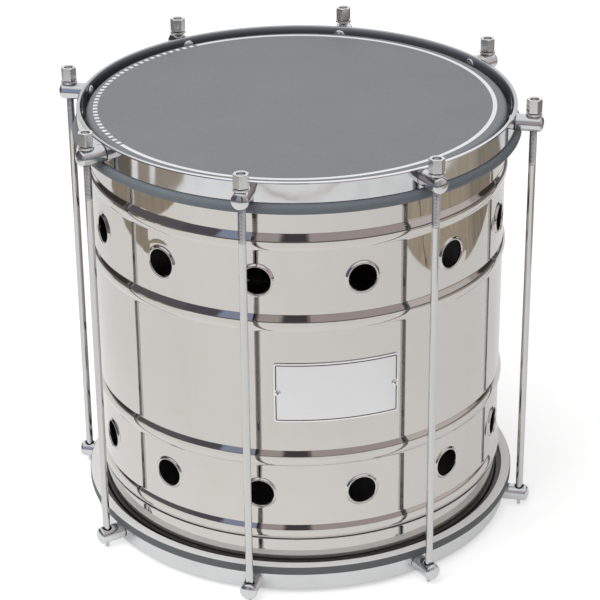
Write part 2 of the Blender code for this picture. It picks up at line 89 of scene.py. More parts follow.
# Badge plate and the line on it
BADGE_Z, BADGE_WIDTH, BADGE_HEIGHT = 0.16125, 0.0896, 0.0460
BADGE_THICKNESS, BADGE_CORNER = 0.0008, 0.0018
LINE_INSET, LINE_CORNER, LINE_HALF = 0.0015, 0.0010, 0.00034
RIVET_REACH, RIVET_RADIUS, RIVET_HEAD, RIVET_DOME = 0.0418, 0.0010, 0.0019, 0.0010

# Ring printed on the upper film, and the part of it, in azimuth, that is broken into strokes
PRINT_CENTRE, PRINT_RADIUS, PRINT_HALF = (-0.0012, 0.0013), 0.1452, 0.00145
BROKEN_START, BROKEN_END = -158.0, -67.0
STROKE_ANGLE, STROKE_SHARE, STROKE_HALF = 2.5, 0.24, 0.0016


# Surfaces: each is (points, faces), worked out as whole arrays

def surface(points, kept=None, closed=False, wrapped=True):
    """Four-cornered faces between neighbours of a grid of points, without the cells that aren't kept."""
    rows, columns = points.shape[:2]
    cell_rows, cell_columns = rows - (not closed), columns - (not wrapped)
    row, column = np.mgrid[:cell_rows, :cell_columns]
    above, beside = (row + 1) % rows, (column + 1) % columns
    faces = np.stack([row * columns + column, row * columns + beside, above * columns + beside,
                      above * columns + column], axis=-1)
    faces = faces.reshape(-1, 4) if kept is None else faces[kept]
    return points.reshape(-1, 3), faces


def turned(profile, columns, turn=0.0, closed=False, cut=(), swell=None):
    """Profile carried round Z: (r sin a, -r cos a, z) at each angle a, with square blocks of cells cut out.
    A swell is a function of r, z and a that gives the radius in place of r."""
    r, z = np.array(profile, float).T[:, :, None]
    a = math.radians(turn) + np.arange(columns) * 2 * np.pi / columns
    r = r + 0 * a if swell is None else swell(r, z, a)
    points = np.stack([r * np.sin(a), -r * np.cos(a), z + 0 * a], axis=-1)
    kept = np.ones((len(points) - (not closed), columns), bool)
    for row, column, half in cut:
        side = np.arange(-half, half)
        kept[np.ix_(row + side, (column + side) % columns)] = False
    return surface(points, kept, closed)


def rounded(corners, cuts, steps=3, closed=False):
    """Profile with each corner P swapped for (1-t)^2 A + 2t(1-t) P + t^2 B, where A and B lie a cut's
    length from P along its two sides."""
    p = np.array(corners, float)
    cuts = np.broadcast_to(cuts, len(p)).astype(float).copy()
    if not closed:
        cuts[[0, -1]] = 0

    def beside(step):
        side = np.roll(p, step, axis=0) - p
        return p + side / np.linalg.norm(side, axis=1, keepdims=True) * cuts[:, None]

    t = np.linspace(0, 1, steps + 1)[None, :, None]
    curve = (1 - t) ** 2 * beside(1)[:, None] + 2 * t * (1 - t) * p[:, None] + t ** 2 * beside(-1)[:, None]
    curve = curve.reshape(-1, 2)
    moved = np.linalg.norm(curve - np.roll(curve, 1, axis=0), axis=1) > 1e-6
    moved[0] = True
    return curve[moved]


def hole_rings(azimuth, height, half, step, rise, rings):
    """Loops from the square edge of a cut block to round loops, for a hole drilled across a turned wall.
    A ring is (radius, wall, lift, square): its points lie at square times the block's edge plus (1 - square)
    times the circle, and sqrt(wall^2 - across^2) + lift out from the axis."""
    side = np.arange(-half, half)
    column = np.concatenate([side, np.full(2 * half, half), -side, np.full(2 * half, -half)])
    row = np.concatenate([np.full(2 * half, -half), side, np.full(2 * half, half), -side])
    turn = -0.75 * np.pi + np.arange(8 * half) * np.pi / (4 * half)
    radius, wall, lift, square = np.array(rings, float).T[:, :, None]
    across = square * wall * np.sin(column * step) + (1 - square) * radius * np.cos(turn)
    along = square * rise * row + (1 - square) * radius * np.sin(turn)
    out = np.sqrt(np.maximum(wall ** 2 - across ** 2, 0)) + lift
    a = math.radians(azimuth)
    return surface(np.stack([out * math.sin(a) + across * math.cos(a),
                             across * math.sin(a) - out * math.cos(a), height + along], axis=-1))


def set_at(surfaces, azimuth, radius=0.0, height=0.0, radial=False):
    """Surfaces moved out and up and turned to an azimuth; radial ones first lie down, Z outwards and Y up."""
    a = math.radians(azimuth)
    placed = []
    for points, faces in surfaces:
        x, y, z = points.T
        if radial:
            y, z = -z, y
        y = y - radius
        placed.append((np.stack([x * math.cos(a) - y * math.sin(a), x * math.sin(a) + y * math.cos(a),
                                 z + height], axis=1), faces))
    return placed


def piece(name, surfaces, body, node, material, sharp=38):
    """One welded mesh with its faces outwards, which stands for a solid and rides on its body."""
    firsts = np.cumsum([0] + [len(points) for points, faces in surfaces])
    points = np.concatenate([points for points, faces in surfaces])
    faces = np.concatenate([faces + first for (_, faces), first in zip(surfaces, firsts)])
    mesh = bpy.data.meshes.new(name)
    mesh.from_pydata(points.tolist(), [], faces.tolist())
    work = bmesh.new()
    work.from_mesh(mesh)
    bmesh.ops.remove_doubles(work, verts=work.verts, dist=5e-6)
    bmesh.ops.recalc_face_normals(work, faces=work.faces)
    work.to_mesh(mesh)
    work.free()
    mesh.polygons.foreach_set("use_smooth", np.ones(len(mesh.polygons), bool))
    mesh.set_sharp_from_angle(angle=math.radians(sharp))
    mesh.materials.append(material)
    made = bpy.data.objects.new(name, mesh)
    bpy.context.scene.collection.objects.link(made)
    weighted = made.modifiers.new("even shading", "WEIGHTED_NORMAL")
    weighted.keep_sharp = True
    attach(made, body)
    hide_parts(node)


# Shapes

def shell_surfaces():
    """Rolled wall: radius R + h s(t) at each bead, s the smoothed top of 1 - t^2 across its width; both
    ends turn in on quarter circles, and 26 holes with raised lips join the outer face to the inner one."""
    half_widths = np.array([0, 0.28, 0.55, 0.8, 0.93, 1, 1.08, 1.2])
    across_bead = np.concatenate([-half_widths[:0:-1], half_widths])
    step = 2 * math.pi / WALL_COLUMNS
    rise = SHELL_RADIUS * math.sin(step * HOLE_HALF) / HOLE_HALF
    block = np.arange(-HOLE_HALF, HOLE_HALF + 1) * rise
    quarter = np.linspace(0, np.pi / 2, 7)

    def face(depth, lines):
        bump = 1 - lines ** 2
        bump = (bump + np.sqrt(bump ** 2 + 0.004)) / 2 * BEAD_HEIGHT
        beads = [(SHELL_RADIUS - depth + bump, middle + lines * BEAD_WIDTH / 2) for middle in BEAD_HEIGHTS]
        rows = [(np.full(len(block), SHELL_RADIUS - depth), row + block) for row in HOLE_ROWS]
        reach = EDGE_RADIUS - depth
        out = SHELL_RADIUS - EDGE_RADIUS + reach * np.cos(quarter)
        low = (out[::-1], SHELL_BOTTOM + EDGE_RADIUS - reach * np.sin(quarter)[::-1])
        high = (out, SHELL_TOP - EDGE_RADIUS + reach * np.sin(quarter))
        parts = [low, beads[0], rows[0], beads[1], beads[2], rows[1], beads[3], high]
        return np.concatenate([np.stack(part, axis=1) for part in parts])

    profile = np.concatenate([face(0, across_bead), face(SHELL_WALL, across_bead[1:-1:2])[::-1]])
    middles = [np.flatnonzero(np.abs(profile[:, 1] - row) < 1e-7) for row in HOLE_ROWS]
    cut = [(line, COLUMNS_PER_HOLE * hole, HOLE_HALF) for lines in middles for line in lines
           for hole in range(HOLE_COUNT)]
    wall, back, reach = SHELL_RADIUS, SHELL_RADIUS - SHELL_WALL, LIP_REACH + 0.0006
    swell = np.linspace(0, 1, 7)[1:]
    lip_radius = LIP_REACH - (LIP_REACH - LIP_CREST) * swell
    lip_lift = LIP_HEIGHT * (1 - np.cos(np.pi * swell)) / 2
    rings = [(reach, wall, 0, 1), (reach, wall, 0, 0.6), (reach, wall, 0, 0.25), (reach, wall, 0, 0),
             (LIP_REACH, wall, 0, 0), *[(r, wall, lift, 0) for r, lift in zip(lip_radius, lip_lift)],
             *[(r, wall, lift, 0) for r, lift in LIP_FALL],
             (HOLE_RADIUS, back, 0.0001, 0), (HOLE_RADIUS + 0.0002, back, 0, 0), (reach, back, 0, 0),
             (reach, back, 0, 0.5), (reach, back, 0, 1)]
    holes = [hole_rings(HOLE_AZIMUTH + 360 / HOLE_COUNT * hole, row, HOLE_HALF, step, rise, rings)
             for row in HOLE_ROWS for hole in range(HOLE_COUNT)]
    return [turned(profile, WALL_COLUMNS, HOLE_AZIMUTH, True, cut), *holes]


def head_surfaces(edge, side, film, flange, reach):
    """Film over a bearing edge: a flat disc, a quarter turn, a collar along the wall and a flange turned out
    to its ring on a small quarter turn. Side is 1 for the upper film and -1 for the lower one."""
    quarter = np.linspace(0, np.pi / 2, 9)
    centre = SHELL_RADIUS - EDGE_RADIUS

    def face(depth, bend):
        over = EDGE_RADIUS + GAP + depth
        arc = [(centre + over * math.sin(t), edge - side * (EDGE_RADIUS - over * math.cos(t)))
               for t in quarter]
        level = flange + side * (depth - film / 2)
        fillet = [(centre + over + bend * (1 - math.cos(t)), level + side * bend * (1 - math.sin(t)))
                  for t in quarter]
        disc = [(step * centre / 12, edge + side * (GAP + depth)) for step in range(12)]
        return [*disc, *arc, *fillet, (reach, level)]

    return [turned(face(film, OUTER_BEND) + face(0, INNER_BEND)[::-1], WALL_COLUMNS, HOLE_AZIMUTH)]


def hoop_surfaces(low, high, rounded_side):
    """Flat band turned round the drum, with its edges well rounded on one side, 1 for the top and -1 for the
    bottom, and just broken on the other."""
    inner, outer = HOOP_FACES
    cuts = [BROKEN_EDGE, BROKEN_EDGE, ROUNDED_EDGE, ROUNDED_EDGE][::rounded_side]
    section = rounded([(inner, low), (outer, low), (outer, high), (inner, high)], cuts, 6, True)
    return [turned(section, RING_COLUMNS, closed=True)]


def batter_ring_surfaces():
    """Round ring: its section is a circle."""
    t = np.arange(28) * 2 * np.pi / 28
    section = np.stack([BATTER_RING_RADIUS + BATTER_RING_SECTION * np.cos(t),
                        BATTER_RING_Z + BATTER_RING_SECTION * np.sin(t)], axis=1)
    return [turned(section, RING_COLUMNS, closed=True)]


def resonant_ring_surfaces():
    """Channel ring: a rounded block with a groove on the inside for the film's flange."""
    (inner, low), (outer, high) = RESONANT_RING
    middle, half = RESONANT_FLANGE_Z, RESONANT_FILM / 2 + GAP
    floor = (inner + outer) / 2
    section = [(inner, low), (outer, low), (outer, high), (inner, high),
               (inner, middle + half), (floor, middle + half), (floor, middle - half), (inner, middle - half)]
    cuts = (0.0006, 0.0012, 0.0012, 0.0006, 0.0003, 0.0001, 0.0001, 0.0003)
    return [turned(rounded(section, cuts, 5, True), RING_COLUMNS, closed=True)]


def screw_surfaces(end):
    """Domed head inside the hoop, radius H cos t and depth D sin t, and the shank out to a radius."""
    seat, edge = HOOP_FACES[0] - GAP, 0.0003
    t = np.linspace(np.pi / 2, 0, 11)
    dome = [(SCREW_HEAD * math.cos(a), seat - edge - (SCREW_DOME - edge) * math.sin(a)) for a in t]
    shank = [(SCREW_RADIUS, seat), (SCREW_RADIUS, end), (0, end)]
    return [turned([*dome, (SCREW_HEAD - 0.0001, seat), *shank], 32)]


def lug_surfaces(rings_up, rings_down):
    """Round bar from the hoop's face to a domed end, radius R cos t and reach D sin t, with the rod's hole
    across it."""
    rise = LUG_RADIUS * math.sin(math.pi / 4) / LUG_HALF
    rows = ROD_CIRCLE + np.arange(-LUG_HALF, LUG_HALF + 1) * rise
    t = np.linspace(0, np.pi / 2, 12)
    dome = np.stack([LUG_RADIUS * np.cos(t).clip(0), LUG_END - LUG_DOME + LUG_DOME * np.sin(t)], axis=1)
    foot = rounded([(0, LUG_START), (LUG_RADIUS, LUG_START), (LUG_RADIUS, rows[0])], 0.0004)
    profile = np.concatenate([foot, [(LUG_RADIUS, row) for row in rows[1:]], dome])
    middle = len(foot) - 1 + LUG_HALF
    cut = [(middle, 0, LUG_HALF), (middle, LUG_COLUMNS // 2, LUG_HALF)]
    bar = turned(profile, LUG_COLUMNS, cut=cut)
    step = 2 * math.pi / LUG_COLUMNS
    return [bar, hole_rings(180, ROD_CIRCLE, LUG_HALF, step, rise, rings_up),
            hole_rings(0, ROD_CIRCLE, LUG_HALF, step, rise, rings_down)]


def drilled(mouth, hole, level):
    """Rings of a hole in a lug: square edge, round mouth with a broken edge, and the bore to a flat level."""
    return [(mouth, LUG_RADIUS, 0, 1), (mouth, LUG_RADIUS, 0, 0.5), (mouth, LUG_RADIUS, 0, 0),
            ((mouth + hole) / 2, LUG_RADIUS, -0.00008, 0), (hole, LUG_RADIUS, -0.00028, 0),
            (hole, 0, level, 0)]


def top_lug_surfaces():
    """Lug with a plain through hole."""
    rings = drilled(ROD_HOLE + 0.0004, ROD_HOLE, 0)
    return lug_surfaces(rings, rings)


def bottom_lug_surfaces():
    """Lug with a wide mouth down to the rod's seat and a small hole for its tail, and the lug's own screw."""
    mouth = [*drilled(ROD_MOUTH + 0.0004, ROD_MOUTH, -SEAT_DROP), (TAIL_HOLE, 0, -SEAT_DROP, 0)]
    return [*lug_surfaces(mouth, drilled(TAIL_HOLE + 0.0003, TAIL_HOLE, SEAT_DROP)),
            *screw_surfaces(LUG_START + 0.002)]


def rod_surfaces():
    """Rod with a thin tail. Above its plain part the radius is root + (crest - root) w(z / pitch - a / 2 pi).
    Here w is a rounded triangle wave that fades in over three turns and is cut by a cone at the upper end."""
    plain = [(0, 0), (ROD_TAIL_RADIUS - 0.0003, 0), (ROD_TAIL_RADIUS, 0.0004),
             (ROD_TAIL_RADIUS, ROD_SHOULDER), (ROD_RADIUS - 0.0003, ROD_SHOULDER),
             (ROD_RADIUS, ROD_SHOULDER + 0.0003)]
    plain += [(ROD_RADIUS, z) for z in np.linspace(ROD_SHOULDER + 0.002, THREAD_START - 0.001, 9)]
    turns = [(ROD_RADIUS, z) for z in np.arange(THREAD_START, ROD_TOP, THREAD_PITCH / 8)]
    end = [(ROD_RADIUS, ROD_TOP), (0, ROD_TOP)]

    def thread(r, z, a):
        phase = z / THREAD_PITCH - a / (2 * np.pi)
        wave = np.abs(2 * (phase % 1) - 1)
        wave = wave * wave * (3 - 2 * wave)
        cut = THREAD_ROOT + (THREAD_CREST - THREAD_ROOT) * wave
        fade = np.clip((z - THREAD_START) / (3 * THREAD_PITCH), 0, 1)
        cone = ROD_RADIUS - 0.0005 + (ROD_TOP - z)
        return np.where(r < ROD_RADIUS - 1e-6, r, np.minimum(r + fade * (cut - r), cone))

    return [turned([*plain, *turns, *end], 28, swell=thread)]


def nut_surfaces():
    """Long hexagon nut: radius min(limit, hexagon at that angle), where the limit comes in on a cone at both
    ends and is the bore inside. The hexagon is half / (sum of cos^p of the angle from each flat)^(1 / p), and
    p sets how sharp its corners are."""
    half, top = NUT_FLATS / 2, NUT_HEIGHT
    corner, bore = 2 * half / math.sqrt(3), ROD_RADIUS + GAP
    past_corner, sharpness = 0.0070, 120
    foot = [(half - 0.0003, 0), (corner - 0.0001, 0.0003)]
    sides = [(past_corner, 0.0009), (past_corner, 0.005), (past_corner, top - 0.0010)]
    cone = [(corner + 0.00005 + (half - 0.00025 - corner) * t ** 1.1, top - 0.00056 + 0.00054 * t)
            for t in np.linspace(0, 1, 9)]
    mouth = [(half - 0.0004, top), (bore + 0.0007, top), (bore + 0.0002, top - 0.0003), (bore, top - 0.0006)]
    profile = [*foot, *sides, *cone, *mouth, (bore, 0.0005), (bore + 0.0005, 0)]

    def hexagon(r, z, a):
        across = np.cos(a[None, :] - np.radians(np.arange(30, 360, 60))[:, None]).clip(1e-3)
        return np.minimum(r, half / (across ** sharpness).sum(axis=0) ** (1 / sharpness))

    return [turned(profile, 96, closed=True, swell=hexagon)]


def washer_surfaces():
    """Flat washer with rounded edges."""
    hole = ROD_RADIUS + GAP
    section = [(WASHER_RADIUS, 0), (WASHER_RADIUS, WASHER_THICKNESS), (hole, WASHER_THICKNESS), (hole, 0)]
    return [turned(rounded(section, 0.0003, 4, True), 48, closed=True)]


def badge_surfaces():
    """Plate with quarter-circle corners rolled to the wall: loops at (inset, level) round its outline, each
    point at across / R round the wall, closed by strips between the upper and lower sides."""
    corner = np.linspace(0, np.pi / 2, 9)
    low = SHELL_RADIUS + GAP
    high = low + BADGE_THICKNESS
    levels = [(0, low), (0, high - 0.00022), (0.00007, high - 0.00008), (0.00022, high)]

    def loop(inset, level):
        radius = BADGE_CORNER - inset
        ends = BADGE_WIDTH / 2 - BADGE_CORNER + radius * np.cos(corner)
        tall = BADGE_HEIGHT / 2 - BADGE_CORNER + radius * np.sin(corner)
        between = np.linspace(ends[-1], -ends[-1], 41)[1:-1]
        across = np.concatenate([ends, between, -ends[::-1]])
        half = np.concatenate([tall, np.full(len(between), tall[-1]), tall[::-1]])
        angle = np.concatenate([across, across[::-1]]) / SHELL_RADIUS
        height = BADGE_Z + np.concatenate([half, -half[::-1]])
        return np.stack([level * np.sin(angle), -level * np.cos(angle), height], axis=-1)

    rings = np.stack([loop(*level) for level in levels])
    count = rings.shape[1] // 2
    fills = [surface(np.stack([ring[:count], ring[count:][::-1]]), wrapped=False)
             for ring in (rings[0], rings[-1])]
    return [surface(rings), *fills]


def rivet_surfaces():
    """Rivet from inside the wall to a domed head on the plate."""
    seat, edge = SHELL_RADIUS + BADGE_THICKNESS + 2 * GAP, 0.0001
    back = SHELL_RADIUS - SHELL_WALL
    t = np.linspace(0, np.pi / 2, 9)
    dome = [(RIVET_HEAD * math.cos(a), seat + edge + (RIVET_DOME - edge) * math.sin(a)) for a in t]
    tail = [(0, back - 0.0012), (0.0008, back - 0.0012), (RIVET_RADIUS, back - 0.0010), (RIVET_RADIUS, seat)]
    return [turned([*tail, (RIVET_HEAD, seat), *dome], 28)]


# Shader maths

class Value:
    """A socket of a material's tree; arithmetic on it adds the Math nodes that work it out."""

    def __init__(self, tree, socket):
        self.tree, self.socket = tree, socket

    def math(self, operation, *others):
        return self.tree.add("Math", {"operation": operation}, [self, *others])

    def __add__(self, other):
        return self.math("ADD", other)

    def __sub__(self, other):
        return self.math("SUBTRACT", other)

    def __rsub__(self, other):
        return self.math("MULTIPLY_ADD", -1.0, other)

    def __mul__(self, other):
        return self.math("MULTIPLY", other)

    def __truediv__(self, other):
        return self.math("DIVIDE", other)

    def __lt__(self, other):
        return self.math("LESS_THAN", other)

    def __gt__(self, other):
        return self.math("GREATER_THAN", other)

    __radd__ = __add__
    __rmul__ = __mul__

    def span(self, low, high, smooth=True):
        """0 below low, 1 above high, and a ramp between."""
        kind = "SMOOTHSTEP" if smooth else "LINEAR"
        return self.tree.add("MapRange", {"interpolation_type": kind}, [self, low, high, 0.0, 1.0])

    def near(self, middle, half, soft):
        """1 within a half width of a middle, and 0 past a soft border."""
        return 1.0 - (self - middle).math("ABSOLUTE").span(half, half + soft)


class Tree:
    """The nodes of one material or world, with one method that adds any of them."""

    def __init__(self, nodes):
        self.nodes, self.links = nodes.nodes, nodes.links
        self.nodes.clear()

    def add(self, kind, settings=None, values=(), output=0):
        """A node of a type, its settings made first, its sockets fed in order or by name."""
        node = self.nodes.new("ShaderNode" + kind)
        for name, setting in (settings or {}).items():
            setattr(node, name, setting)
        named = values.items() if isinstance(values, dict) else enumerate(values)
        for name, value in named:
            if isinstance(value, Value):
                self.links.new(value.socket, node.inputs[name])
            elif value is not None:
                node.inputs[name].default_value = value
        return Value(self, node.outputs[output]) if node.outputs else None

    def place(self):
        """The object's own coordinates."""
        return self.add("TexCoord", output=3)

    def axes(self, vector):
        """The three parts of a vector."""
        outputs = self.add("SeparateXYZ", values=[vector]).socket.node.outputs
        return [Value(self, socket) for socket in outputs]

    def vector(self, x, y, z):
        return self.add("CombineXYZ", values=[x, y, z])

    def scaled(self, vector, *scale):
        return self.add("VectorMath", {"operation": "MULTIPLY"}, [vector, scale])

    def noise(self, vector, scale, detail=2.0, roughness=0.5, distortion=0.0):
        return self.add("TexNoise", values={"Vector": vector, "Scale": scale, "Detail": detail,
                                            "Roughness": roughness, "Distortion": distortion})

    def blend(self, mask, first, second):
        """One colour over to another by a mask."""
        return self.add("Mix", {"data_type": "RGBA"}, {0: mask, 6: first, 7: second}, output=2)

    def bump(self, height, distance, strength=1.0, normal=None):
        return self.add("Bump", values={"Height": height, "Distance": distance, "Strength": strength,
                                        "Normal": normal})


def colour(red, green, blue):
    return red, green, blue, 1.0


def length(across, along):
    """Root of the sum of two squares."""
    return (across * across + along * along).math("SQRT")


def turn_from_front(x, y):
    """Azimuth in radians."""
    return x.math("ARCTAN2", y * -1.0)


def from_rod(x, y):
    """Distance from the nearest rod's axis; a rod stands in the middle of each eighth of a turn."""
    eighth = math.radians(45)
    off = ((turn_from_front(x, y) / eighth).math("FRACT") - 0.5) * eighth
    reach = length(x, y)
    return length(reach * off.math("SINE"), reach * off.math("COSINE") - ROD_CIRCLE)


def finish(name, make, metallic=0.0):
    """A material whose Principled shader has what make(tree) gives for its sockets."""
    material = bpy.data.materials.new(name)
    material.use_nodes = True
    tree = Tree(material.node_tree)
    shader = tree.add("BsdfPrincipled", values={"Metallic": metallic, **make(tree)})
    tree.add("OutputMaterial", values=[shader])
    return material


# Finishes

def polished_sheet(tree):
    """Rolled and polished sheet: fine rings of buffing round the wall, slow waves, upright ripples, faint
    wipe marks and stains; slightly dished round its holes; duller inside, and painted dark there as shade."""
    place = tree.place()
    x, y, z = tree.axes(place)
    around = turn_from_front(x, y)
    step = 2 * math.pi / HOLE_COUNT
    from_hole = ((around - math.radians(HOLE_AZIMUTH)) / step + 0.5).math("FRACT") - 0.5
    low, high = HOLE_ROWS
    along = (z - (low + high) / 2).math("ABSOLUTE") - (high - low) / 2
    off_hole = length(from_hole * (step * SHELL_RADIUS), along)
    dish = 1.0 - off_hole.span(LIP_REACH, LIP_REACH + DISH_WIDTH)
    inside = 1.0 - length(x, y).span(SHELL_RADIUS - 0.0007, SHELL_RADIUS - 0.0003)
    rings = tree.noise(tree.vector(around * 3.0, z * 900.0, 0.0), 1.0, 3.0, 0.6)
    waves = tree.noise(place, 14.0, 1.0)
    ripples = tree.noise(tree.vector(around * 24.0, z * 5.0, 0.7), 1.0, 2.0, 0.5)
    wipes = tree.noise(tree.scaled(place, 1.0, 1.0, 0.25), 30.0, 4.0, 0.6).span(0.45, 0.75)
    scratches = tree.noise(tree.vector(around * 40.0, z * 260.0, 0.3), 1.0, 2.0, 0.7, 1.5).span(0.66, 0.72)
    tone = tree.blend(wipes * 0.5 + rings * 0.2, colour(0.655, 0.632, 0.600), colour(0.610, 0.590, 0.562))
    stains = tree.noise(place, 26.0, 2.0, 0.5).span(0.60, 0.78)
    tone = tree.blend(stains * 0.3, tone, colour(0.60, 0.54, 0.45))
    # Painted shade: the wall's inner face is darkened inside the drum.
    tone = tree.blend(inside, tone, colour(0.20, 0.20, 0.20))
    bump = tree.bump(waves + ripples * 0.35 + dish * 1.5, 0.00010)
    rough = 0.02 + wipes * 0.02 + rings * 0.01 + scratches * 0.05 + inside * 0.3
    return {"Base Color": tone, "Roughness": rough, "Normal": tree.bump(rings, 0.000001, 0.6, bump)}


def chrome(tree, inner_face=0.0, dull=0.0):
    """Bright plating with slow waves and faint smears. An inner face, up to a radius, is less metallic slate,
    painted dark as shade and paler towards the top hoop's rim as painted light, and the rim has a painted
    highlight that is pale at the front."""
    place = tree.place()
    smears = tree.noise(place, 55.0, 4.0, 0.6).span(0.42, 0.74)
    tone = tree.blend(smears * 0.5, colour(0.70, 0.705, 0.71), colour(0.64, 0.645, 0.65))
    values = {"Roughness": 0.05 + dull + smears * 0.06,
              "Normal": tree.bump(tree.noise(place, 60.0, 1.0), 0.00005)}
    if inner_face:
        x, y, z = tree.axes(place)
        inside = 1.0 - length(x, y).span(inner_face, inner_face + 0.0002)
        top = TOP_HOOP[1]
        front = (y * -1.0).span(0.04, 0.14)
        # Painted highlight on the top rim: pale at the front, darker at the back.
        rim_highlight = tree.blend(front, colour(0.52, 0.525, 0.53), colour(0.90, 0.90, 0.91))
        # Painted shade and light on the inner face: dark slate below, paler towards the rim.
        slate = tree.blend(z.span(top - 0.0045, top), colour(0.14, 0.155, 0.175), colour(0.42, 0.44, 0.47))
        tone = tree.blend(z.span(top - 0.0010, top - 0.0005), tone, rim_highlight)
        tone = tree.blend(inside, tone, slate)
        values["Metallic"] = 1.0 - inside * 0.6
    return {"Base Color": tone, **values}


def satin_steel(tree):
    """Plated nuts and washers: pale and satin, drawn along their height, with painted shade in the bore."""
    place = tree.place()
    x, y, _ = tree.axes(place)
    drawn = tree.noise(tree.scaled(place, 1.0, 1.0, 0.06), 900.0, 3.0, 0.6)
    spots = tree.noise(place, 240.0, 3.0).span(0.55, 0.8)
    # Painted shade in the bore: near-black within a rod's radius and a little more.
    bore = 1.0 - from_rod(x, y).span(ROD_RADIUS, ROD_RADIUS + 0.0002)
    tone = tree.blend(drawn * 0.3 + spots * 0.3, colour(0.76, 0.76, 0.75), colour(0.64, 0.64, 0.63))
    tone = tree.blend(bore, tone, colour(0.10, 0.10, 0.10))
    return {"Base Color": tone, "Roughness": 0.16 + drawn * 0.04 + spots * 0.06,
            "Normal": tree.bump(drawn, 0.000001, 0.5)}


def threaded_steel(tree):
    """Plated rod, bright and smooth up to its duller thread, whose roots are painted dark as shade; painted
    shade darkens it towards the drum, and it has a mottled end."""
    place = tree.place()
    x, y, z = tree.axes(place)
    marks = tree.noise(tree.scaled(place, 1.0, 1.0, 0.08), 420.0, 3.0, 0.6)
    threaded = z.span(THREAD_START, THREAD_START + 0.002)
    end = z.span(ROD_TOP - 0.0004, ROD_TOP - 0.0002)
    # Painted shade on the side of each rod that faces the drum.
    inner = 1.0 - length(x, y).span(ROD_CIRCLE - 0.0024, ROD_CIRCLE - 0.0008)
    # Painted shade in the thread's roots.
    root = 1.0 - from_rod(x, y).span(THREAD_ROOT + 0.00003, THREAD_ROOT + 0.00025)
    tone = tree.blend(marks * 0.3, colour(0.66, 0.66, 0.655), colour(0.54, 0.53, 0.52))
    tone = tree.blend(threaded * 0.9, tone, colour(0.84, 0.84, 0.86))
    tone = tree.blend(threaded * root * 0.75, tone, colour(0.12, 0.12, 0.12))
    tone = tree.blend(inner * 0.5, tone, colour(0.05, 0.05, 0.05))
    mottled = tree.blend(marks.span(0.35, 0.65), colour(0.62, 0.62, 0.60), colour(0.40, 0.40, 0.39))
    tone = tree.blend(end, tone, mottled)
    return {"Base Color": tone, "Roughness": 0.05 + marks * 0.05 + threaded * 0.30 + end * 0.2,
            "Normal": tree.bump(marks * (1.0 - threaded), 0.000004, 0.5)}


def grey_film(tree, wrapped=False):
    """Grey grained film: fine leathery grain, pressed fibres and slow clouds of tone. On the disc is a white
    printed ring, which is broken into short strokes over a quarter of the way round. Wrapped film is darker
    and has no print."""
    place = tree.place()
    x, y, z = tree.axes(place)
    grain = tree.noise(place, 900.0, 3.0, 0.65)
    fibres = tree.noise(tree.scaled(place, 1.0, 0.35, 1.0), 420.0, 4.0, 0.6, 1.2)
    clouds = tree.noise(place, 18.0, 3.0, 0.5)
    mottle = grain * 0.45 + fibres * 0.35 + clouds * 0.30
    low, high = (0.138, 0.160, 0.178), (0.190, 0.218, 0.242)
    if not wrapped:
        low, high = (0.175, 0.186, 0.199), (0.236, 0.250, 0.266)
    tone = tree.blend(mottle.span(0.30, 0.80, False), colour(*low), colour(*high))
    if not wrapped:
        reach = length(x - PRINT_CENTRE[0], y - PRINT_CENTRE[1])
        azimuth = turn_from_front(x, y) * (180 / math.pi)
        line = reach.near(PRINT_RADIUS, PRINT_HALF, 0.0002)
        strokes = ((azimuth / STROKE_ANGLE).math("FRACT").near(0.5, STROKE_SHARE, 0.04)
                   * reach.near(PRINT_RADIUS, STROKE_HALF, 0.0002))
        broken = (azimuth > BROKEN_START) * (azimuth < BROKEN_END)
        on_disc = z.span(BATTER_TOP - 0.00075, BATTER_TOP - 0.00035)
        printed = (line * (1.0 - broken) + strokes * broken) * on_disc
        worn = 1.0 - fibres.span(0.62, 0.80) * 0.2
        tone = tree.blend(printed * worn, tone, colour(0.88, 0.89, 0.91))
    bump = tree.bump(grain * 0.6 + fibres * 0.4, 0.00006, 0.7)
    return {"Base Color": tone, "Roughness": 0.46 + grain * 0.16, "Normal": bump}


def satin_aluminium(tree):
    """Rolled aluminium channel: lines that run round the ring and small dull spots; its outer side is dark
    and matt."""
    place = tree.place()
    x, y, z = tree.axes(place)
    around = x.math("ARCTAN2", y)
    reach = length(x, y)
    lines = tree.noise(tree.vector(around * 4.0, reach * 2500.0, z * 2500.0), 1.0, 3.0, 0.6)
    spots = tree.noise(place, 160.0, 3.0).span(0.55, 0.75)
    outer = RESONANT_RING[1][0]
    side = reach.span(outer - 0.0007, outer - 0.0004)
    tone = tree.blend(lines * 0.7 + spots * 0.3, colour(0.98, 0.98, 0.97), colour(0.88, 0.88, 0.87))
    tone = tree.blend(side, tone, colour(0.135, 0.148, 0.150))
    return {"Base Color": tone, "Roughness": 0.30 + lines * 0.14 + side * 0.2, "Metallic": 0.08,
            "Normal": tree.bump(lines, 0.000006, 0.6)}


def dark_film(tree):
    """Smoke-dark lower film with a fine haze and slow ripples near its collar."""
    place = tree.place()
    haze = tree.noise(place, 700.0, 3.0, 0.6)
    clouds = tree.noise(place, 25.0, 3.0)
    tone = tree.blend(haze * 0.5 + clouds * 0.5, colour(0.045, 0.043, 0.043), colour(0.080, 0.076, 0.075))
    return {"Base Color": tone, "Roughness": 0.30 + haze * 0.15, "Normal": tree.bump(haze, 0.00002, 0.5)}


